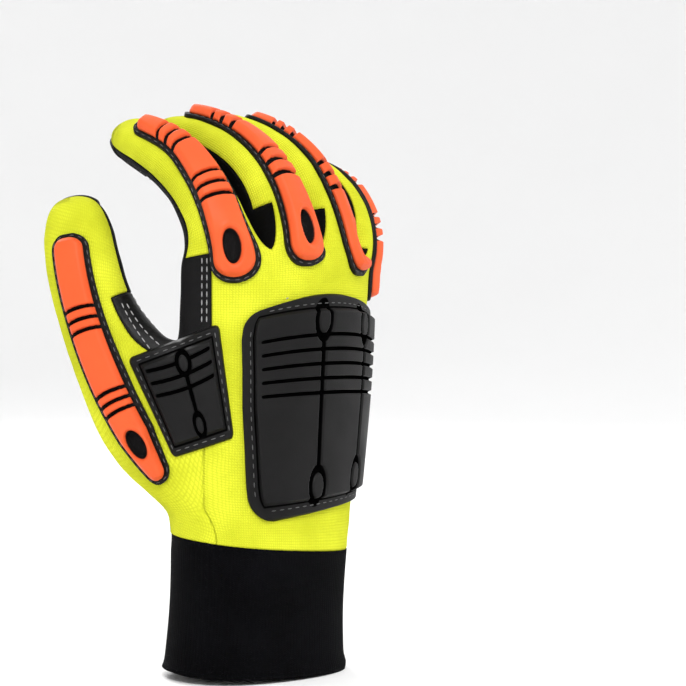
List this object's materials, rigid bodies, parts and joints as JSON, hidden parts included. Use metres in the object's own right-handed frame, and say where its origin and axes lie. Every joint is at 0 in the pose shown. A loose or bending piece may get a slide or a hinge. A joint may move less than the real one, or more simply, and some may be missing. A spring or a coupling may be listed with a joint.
{
  "type": "impact glove",
  "caption": "Right-hand impact work glove with a hi-vis knit back, a dark leather palm, moulded finger and thumb guards, a back pad and a knit cuff.",
  "frame": {"origin": "middle of the cuff's open end, level with its hem", "axes": "+Z from the cuff to the fingers, -Y out of the back of the hand, -X towards the thumb"},
  "size_m": [0.1395, 0.0903, 0.231],
  "materials": {
    "yellow_cloth": "hi-vis knit with a fine grid",
    "black_knit": "fine ribbed knit",
    "black_cloth": "matt stretch cloth",
    "black_leather": "suede and smooth leather with pale stitches",
    "black_rubber": "satin moulded",
    "orange_rubber": "satin moulded"
  },
  "bodies": {
    "root": {"cuff": "black_knit", "back_cloth": "yellow_cloth", "thumb_cloth": "yellow_cloth", "palm_leather": "black_leather", "web_patch": "black_leather", "fourchette_1": "black_cloth", "fourchette_2": "black_cloth", "fourchette_3": "black_cloth", "index_guard_base": "black_rubber", "index_guard": "orange_rubber", "middle_guard_base": "black_rubber", "middle_guard": "orange_rubber", "ring_guard_base": "black_rubber", "ring_guard": "orange_rubber", "little_guard_base": "black_rubber", "little_guard": "orange_rubber", "thumb_guard_base": "black_rubber", "thumb_guard": "orange_rubber", "back_pad": "black_rubber", "web_guard": "black_rubber", "palm_patch_upper": "black_leather", "palm_patch_lower": "black_leather", "index_tip_patch": "black_leather", "middle_tip_patch": "black_leather", "ring_tip_patch": "black_leather", "little_tip_patch": "black_leather", "thumb_tip_patch": "black_leather"}
  },
  "joints": []
}
